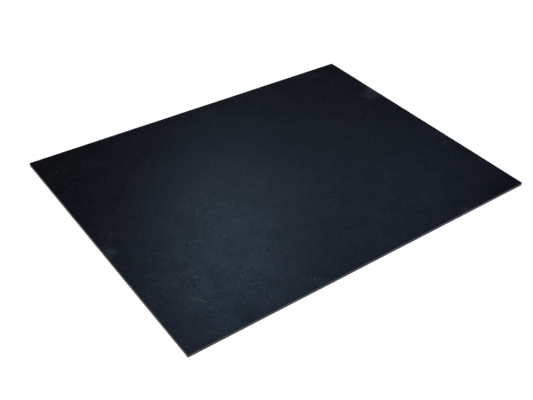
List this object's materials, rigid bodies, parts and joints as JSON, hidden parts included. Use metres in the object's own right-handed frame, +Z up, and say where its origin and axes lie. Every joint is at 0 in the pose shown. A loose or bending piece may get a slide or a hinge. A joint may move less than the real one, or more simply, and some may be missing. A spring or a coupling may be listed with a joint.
{
  "type": "seedling heat mat",
  "caption": "Thin flat rectangular rubber heat mat for seed trays, with a carbon film element inside and a flush supply inlet in one edge.",
  "frame": {"origin": "centre of the underside, on the surface that the mat lies on", "axes": "+X along the long side towards the edge with the supply inlet, +Y along the short side towards the corner near the inlet, +Z up through the face that the trays stand on"},
  "size_m": [0.6, 0.45, 0.005],
  "materials": {
    "cover_rubber": "matte blue-black sheet rubber",
    "edge_rubber": "matte, cut edge",
    "foam": "matte closed-cell foam rubber",
    "spreader_foil": "satin foil",
    "glass_scrim": "matte fine weave",
    "polyester_film": "gloss film",
    "carbon_ink": "matte printed ink",
    "copper": "satin copper",
    "inlet_nylon": "satin black nylon",
    "tinned_metal": "satin tin plate",
    "lead_red": "satin insulation",
    "lead_black": "satin insulation",
    "ceramic": "matte"
  },
  "bodies": {
    "root": {"bottom_cover": "cover_rubber", "top_cover": "cover_rubber", "edge_strip_front": "edge_rubber", "edge_strip_back": "edge_rubber", "edge_strip_left": "edge_rubber", "edge_strip_right_front": "edge_rubber", "edge_strip_right_back": "edge_rubber", "insulation_foam": "foam", "wiring_bed": "foam", "heat_spreader": "spreader_foil", "glass_scrim": "glass_scrim", "lower_film": "polyester_film", "upper_film": "polyester_film", "carbon_strip_01": "carbon_ink", "carbon_strip_02": "carbon_ink", "carbon_strip_03": "carbon_ink", "carbon_strip_04": "carbon_ink", "carbon_strip_05": "carbon_ink", "carbon_strip_06": "carbon_ink", "carbon_strip_07": "carbon_ink", "carbon_strip_08": "carbon_ink", "carbon_strip_09": "carbon_ink", "carbon_strip_10": "carbon_ink", "carbon_strip_11": "carbon_ink", "carbon_strip_12": "carbon_ink", "carbon_strip_13": "carbon_ink", "carbon_strip_14": "carbon_ink", "carbon_strip_15": "carbon_ink", "carbon_strip_16": "carbon_ink", "bus_bar_front": "copper", "bus_bar_back": "copper", "inlet_base": "inlet_nylon", "inlet_lid": "inlet_nylon", "contact_supply": "copper", "contact_return": "copper", "thermal_cutout": "ceramic", "splice_front": "tinned_metal", "splice_back": "tinned_metal", "lead_cutout_to_front_bus": "lead_red", "lead_inlet_to_cutout": "lead_red", "lead_inlet_to_back_bus": "lead_black", "lug_front": "tinned_metal", "lug_back": "tinned_metal", "rivet_front": "tinned_metal", "rivet_back": "tinned_metal"}
  },
  "joints": []
}
